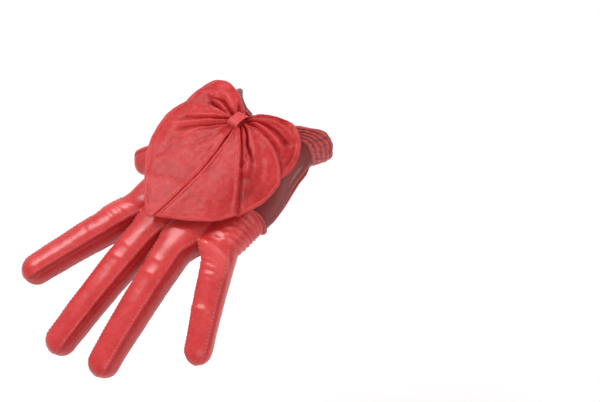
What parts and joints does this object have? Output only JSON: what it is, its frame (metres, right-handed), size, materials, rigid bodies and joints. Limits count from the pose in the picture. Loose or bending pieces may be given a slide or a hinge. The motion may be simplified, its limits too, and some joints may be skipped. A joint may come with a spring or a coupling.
{
  "type": "bow-trimmed leather glove",
  "caption": "Short lined leather glove with fourchette fingers, a gathered cuff and a large bow on the back of the wrist",
  "frame": {"origin": "centre of the wrist opening", "axes": "+Y towards the fingertips, +Z out of the back of the hand, +X towards the thumb"},
  "size_m": [0.1484, 0.1979, 0.0696],
  "materials": {
    "glove_leather": "smooth glossy dyed lambskin with a fine grain",
    "fourchette_leather": "the same lambskin, a little darker in the finger sides",
    "bow_leather": "softly mottled semi-matte dyed lambskin",
    "gathered_leather": "dyed lambskin drawn up in small gathers",
    "gusset_leather": "smooth maroon leather",
    "lining": "thin maroon satin",
    "elastic": "woven elastic tape",
    "thread": "polished sewing thread"
  },
  "bodies": {
    "hand": {"back_panel": "glove_leather", "palm_panel": "glove_leather", "index_middle_web": "fourchette_leather", "middle_ring_web": "fourchette_leather", "ring_little_web": "fourchette_leather", "side_gusset": "gusset_leather", "cuff_band": "gathered_leather", "cuff_elastic": "elastic", "hand_lining": "lining", "thumb_root": "glove_leather", "thumb_root_lining": "lining", "bow_backing": "gusset_leather", "bow_core": "bow_leather", "bow_knot": "bow_leather", "bow_knot_stitches": "thread"},
    "bow_tail_thumb_side": {"bow_tail_thumb_side": "bow_leather"},
    "bow_tail_little_side": {"bow_tail_little_side": "bow_leather"},
    "bow_loop_thumb_side": {"bow_loop_thumb_side": "bow_leather"},
    "bow_loop_little_side": {"bow_loop_little_side": "bow_leather"},
    "index_root": {"index_root_back": "glove_leather", "index_root_palm": "glove_leather", "index_root_fourchette_outer": "fourchette_leather", "index_root_lining": "lining"},
    "index_tip": {"index_tip_back": "glove_leather", "index_tip_palm": "glove_leather", "index_tip_fourchette_outer": "fourchette_leather", "index_tip_lining": "lining"},
    "middle_root": {"middle_root_back": "glove_leather", "middle_root_palm": "glove_leather", "middle_root_fourchette_outer": "fourchette_leather", "middle_root_fourchette_inner": "fourchette_leather", "middle_root_lining": "lining"},
    "middle_tip": {"middle_tip_back": "glove_leather", "middle_tip_palm": "glove_leather", "middle_tip_fourchette_outer": "fourchette_leather", "middle_tip_fourchette_inner": "fourchette_leather", "middle_tip_lining": "lining"},
    "ring_root": {"ring_root_back": "glove_leather", "ring_root_palm": "glove_leather", "ring_root_fourchette_outer": "fourchette_leather", "ring_root_fourchette_inner": "fourchette_leather", "ring_root_lining": "lining"},
    "ring_tip": {"ring_tip_back": "glove_leather", "ring_tip_palm": "glove_leather", "ring_tip_fourchette_outer": "fourchette_leather", "ring_tip_fourchette_inner": "fourchette_leather", "ring_tip_lining": "lining"},
    "little_root": {"little_root_back": "glove_leather", "little_root_palm": "glove_leather", "little_root_fourchette_inner": "fourchette_leather", "little_root_lining": "lining"},
    "little_tip": {"little_tip_back": "glove_leather", "little_tip_palm": "glove_leather", "little_tip_fourchette_inner": "fourchette_leather", "little_tip_lining": "lining"},
    "thumb_middle": {"thumb_middle_back": "glove_leather", "thumb_middle_palm": "glove_leather"},
    "thumb_tip": {"thumb_tip_back": "glove_leather", "thumb_tip_palm": "glove_leather"}
  },
  "joints": [
    {"name": "index_root_bend", "type": "hinge", "parent": "hand", "child": "index_root", "pos_m": [0.03055, 0.10369, -0.00202], "axis": [-0.9563, 0.2924, 0], "range_deg": [-10, 55]},
    {"name": "index_middle_bend", "type": "hinge", "parent": "index_root", "child": "index_tip", "pos_m": [0.03873, 0.13047, -0.00243], "axis": [-0.9563, 0.2924, 0], "range_deg": [0, 60]},
    {"name": "middle_root_bend", "type": "hinge", "parent": "hand", "child": "middle_root", "pos_m": [0.00836, 0.10587, -0.00182], "axis": [-0.9986, 0.0523, 0], "range_deg": [-10, 55]},
    {"name": "middle_middle_bend", "type": "hinge", "parent": "middle_root", "child": "middle_tip", "pos_m": [0.01009, 0.13893, -0.00951], "axis": [-0.9986, 0.0523, 0], "range_deg": [0, 60]},
    {"name": "ring_root_bend", "type": "hinge", "parent": "hand", "child": "ring_root", "pos_m": [-0.01328, 0.10479, -0.00162], "axis": [-0.9976, -0.0698, 0], "range_deg": [-10, 55]},
    {"name": "ring_middle_bend", "type": "hinge", "parent": "ring_root", "child": "ring_tip", "pos_m": [-0.01549, 0.1365, -0.01048], "axis": [-0.9976, -0.0698, 0], "range_deg": [0, 60]},
    {"name": "little_root_bend", "type": "hinge", "parent": "hand", "child": "little_root", "pos_m": [-0.03871, 0.0951, -0.00461], "axis": [-0.9135, -0.4067, 0], "range_deg": [-10, 55]},
    {"name": "little_middle_bend", "type": "hinge", "parent": "little_root", "child": "little_tip", "pos_m": [-0.0479, 0.11572, -0.01273], "axis": [-0.9135, -0.4067, 0], "range_deg": [0, 60]},
    {"name": "thumb_root_bend", "type": "hinge", "parent": "hand", "child": "thumb_middle", "pos_m": [0.05042, 0.04089, -0.01764], "axis": [0.1251, 0.7447, 0.6556], "range_deg": [-10, 35]},
    {"name": "thumb_middle_bend", "type": "hinge", "parent": "thumb_middle", "child": "thumb_tip", "pos_m": [0.06419, 0.04485, -0.02476], "axis": [0.1251, 0.7447, 0.6556], "range_deg": [0, 50]},
    {"name": "bow_tail_thumb_side_lift", "type": "hinge", "parent": "hand", "child": "bow_tail_thumb_side", "pos_m": [0, 0.0258, 0.0296], "axis": [1, 0, 0], "range_deg": [0, 35]},
    {"name": "bow_tail_little_side_lift", "type": "hinge", "parent": "hand", "child": "bow_tail_little_side", "pos_m": [0, 0.0258, 0.0296], "axis": [1, 0, 0], "range_deg": [0, 35]},
    {"name": "bow_loop_thumb_side_lift", "type": "hinge", "parent": "hand", "child": "bow_loop_thumb_side", "pos_m": [0, 0.0259, 0.0281], "axis": [-1, 0, 0], "range_deg": [0, 25]},
    {"name": "bow_loop_little_side_lift", "type": "hinge", "parent": "hand", "child": "bow_loop_little_side", "pos_m": [0, 0.0259, 0.0281], "axis": [-1, 0, 0], "range_deg": [0, 25]}
  ]
}
